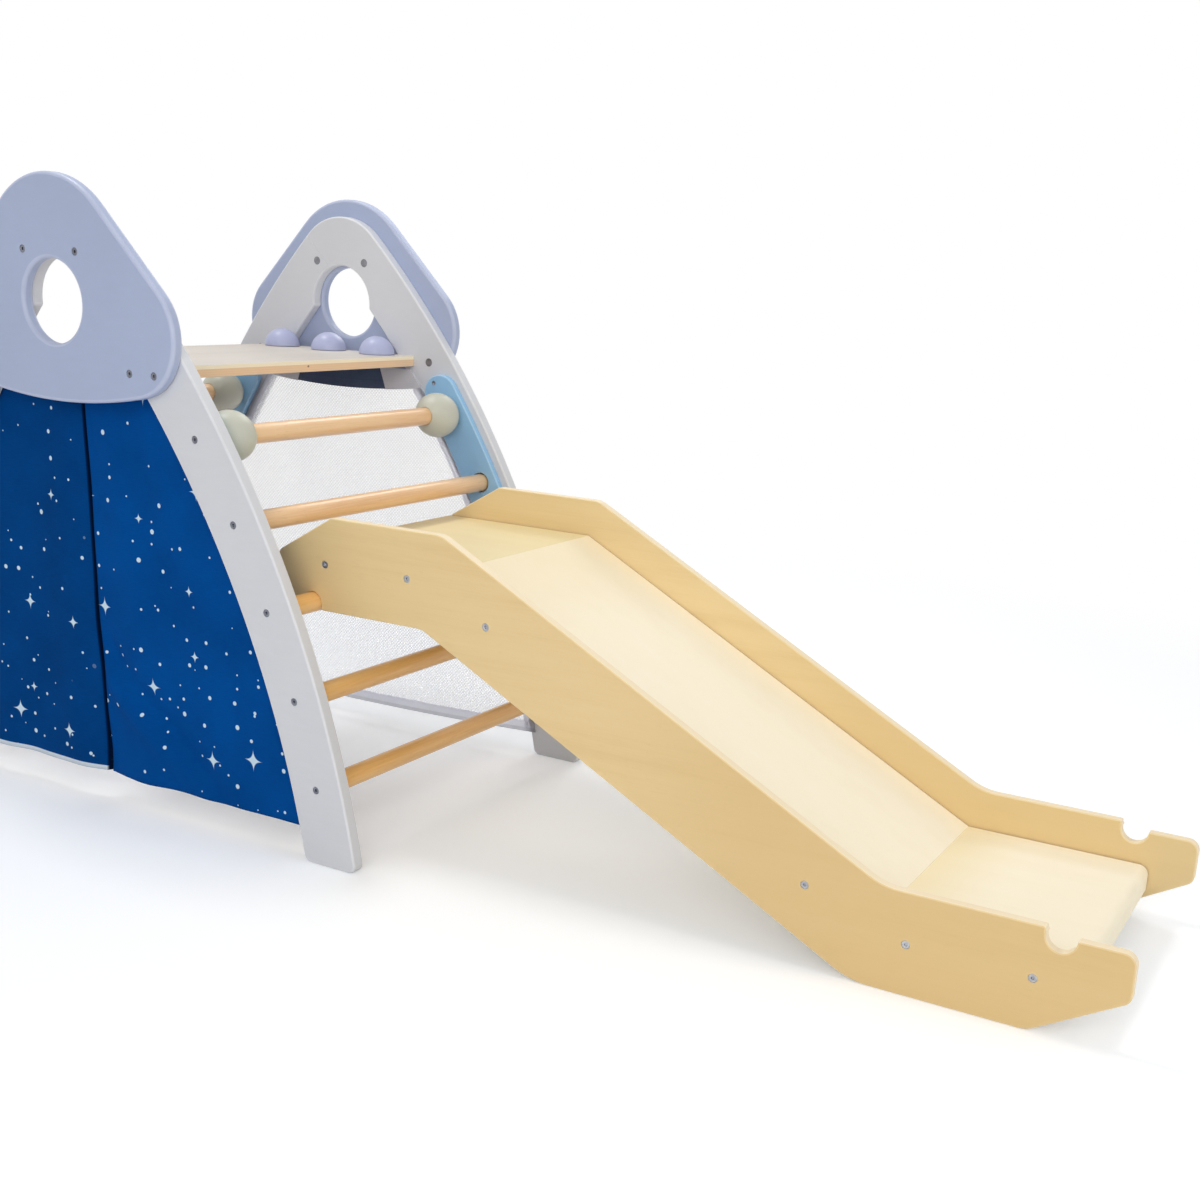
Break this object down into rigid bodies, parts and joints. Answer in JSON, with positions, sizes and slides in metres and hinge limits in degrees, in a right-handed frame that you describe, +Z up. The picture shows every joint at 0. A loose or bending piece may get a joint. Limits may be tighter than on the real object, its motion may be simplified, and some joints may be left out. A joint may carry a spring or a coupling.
{
  "type": "toddler climbing gym",
  "caption": "Wooden toddler climbing gym with two curved ladders under rounded nose boards, a deck, a curtained den and a hooked-on bent slide.",
  "frame": {"origin": "on the floor, under the middle of the whole footprint of frame and slide", "axes": "+X along the slide towards its foot, +Y across the frame from the curtain to the net, +Z up"},
  "size_m": [2.1353, 0.656, 0.9525],
  "materials": {
    "leg_paint": "satin pale grey paint on board",
    "nose_paint": "satin grey-blue paint on board",
    "beech": "clear satin lacquer on turned beech",
    "plate_paint": "satin blue paint on board",
    "ball_paint": "satin sage grey paint on turned wood",
    "knob_paint": "satin lilac paint on turned wood",
    "deck_board": "pale laminated plywood with a clear edge",
    "rail_ply": "clear satin lacquer on birch plywood",
    "bed_laminate": "smooth cream laminate on plywood",
    "dark_steel": "black oxide socket heads",
    "zinc_steel": "bright zinc",
    "insert_brass": "turned brass",
    "navy_cloth": "printed polyester, navy with small white stars",
    "white_net": "open polyester mesh",
    "grey_tape": "woven binding tape",
    "white_tape": "touch tape",
    "navy_tape": "touch tape"
  },
  "bodies": {
    "frame": {"near_left_leg": "leg_paint", "near_right_leg": "leg_paint", "far_left_leg": "leg_paint", "far_right_leg": "leg_paint", "near_nose": "nose_paint", "far_nose": "nose_paint", "right_rung_1": "beech", "right_rung_2": "beech", "right_rung_3": "beech", "right_rung_4": "beech", "right_rung_5": "beech", "left_rung_1": "beech", "left_rung_2": "beech", "left_rung_3": "beech", "left_rung_4": "beech", "left_rung_5": "beech", "near_left_plate": "plate_paint", "near_right_plate": "plate_paint", "far_left_plate": "plate_paint", "far_right_plate": "plate_paint", "deck": "deck_board", "nose_bolts": "dark_steel", "deck_bolts": "dark_steel", "rung_bolts": "dark_steel", "knob_screws": "zinc_steel", "plate_screws": "zinc_steel", "nose_nuts": "zinc_steel", "deck_barrel_nuts": "zinc_steel", "rung_inserts": "insert_brass", "curtain_left_flap": "navy_cloth", "curtain_right_flap": "navy_cloth", "net_header": "navy_cloth", "back_net": "white_net", "net_hem": "grey_tape", "net_tapes": "white_tape", "curtain_tapes": "navy_tape"},
    "slide": {"near_rail": "rail_ply", "far_rail": "rail_ply", "bed_top": "bed_laminate", "bed_slope": "bed_laminate", "bed_foot": "bed_laminate", "foot_batten": "bed_laminate", "slide_bolts": "zinc_steel", "slide_barrel_nuts": "zinc_steel"},
    "near_left_ball": {"near_left_ball": "ball_paint"},
    "near_right_ball": {"near_right_ball": "ball_paint"},
    "far_left_ball": {"far_left_ball": "ball_paint"},
    "far_right_ball": {"far_right_ball": "ball_paint"},
    "left_knob": {"left_knob": "knob_paint"},
    "middle_knob": {"middle_knob": "knob_paint"},
    "right_knob": {"right_knob": "knob_paint"}
  },
  "joints": [
    {"name": "slide_tilt", "type": "hinge", "parent": "frame", "child": "slide", "pos_m": [-0.16329, 0, 0.36571], "axis": [0, -1, 0], "range_deg": [0, 20]},
    {"name": "near_left_ball_spin", "type": "hinge", "parent": "frame", "child": "near_left_ball", "pos_m": [-0.79094, -0.243, 0.5983], "axis": [0, 1, 0], "continuous": true},
    {"name": "near_right_ball_spin", "type": "hinge", "parent": "frame", "child": "near_right_ball", "pos_m": [-0.28751, -0.243, 0.5983], "axis": [0, 1, 0], "continuous": true},
    {"name": "far_left_ball_spin", "type": "hinge", "parent": "frame", "child": "far_left_ball", "pos_m": [-0.79094, 0.243, 0.5983], "axis": [0, 1, 0], "continuous": true},
    {"name": "far_right_ball_spin", "type": "hinge", "parent": "frame", "child": "far_right_ball", "pos_m": [-0.28751, 0.243, 0.5983], "axis": [0, 1, 0], "continuous": true},
    {"name": "left_knob_turn", "type": "hinge", "parent": "frame", "child": "left_knob", "pos_m": [-0.64923, 0.255, 0.69154], "axis": [0, 0, 1], "continuous": true},
    {"name": "middle_knob_turn", "type": "hinge", "parent": "frame", "child": "middle_knob", "pos_m": [-0.53923, 0.255, 0.69154], "axis": [0, 0, 1], "continuous": true},
    {"name": "right_knob_turn", "type": "hinge", "parent": "frame", "child": "right_knob", "pos_m": [-0.42923, 0.255, 0.69154], "axis": [0, 0, 1], "continuous": true}
  ]
}
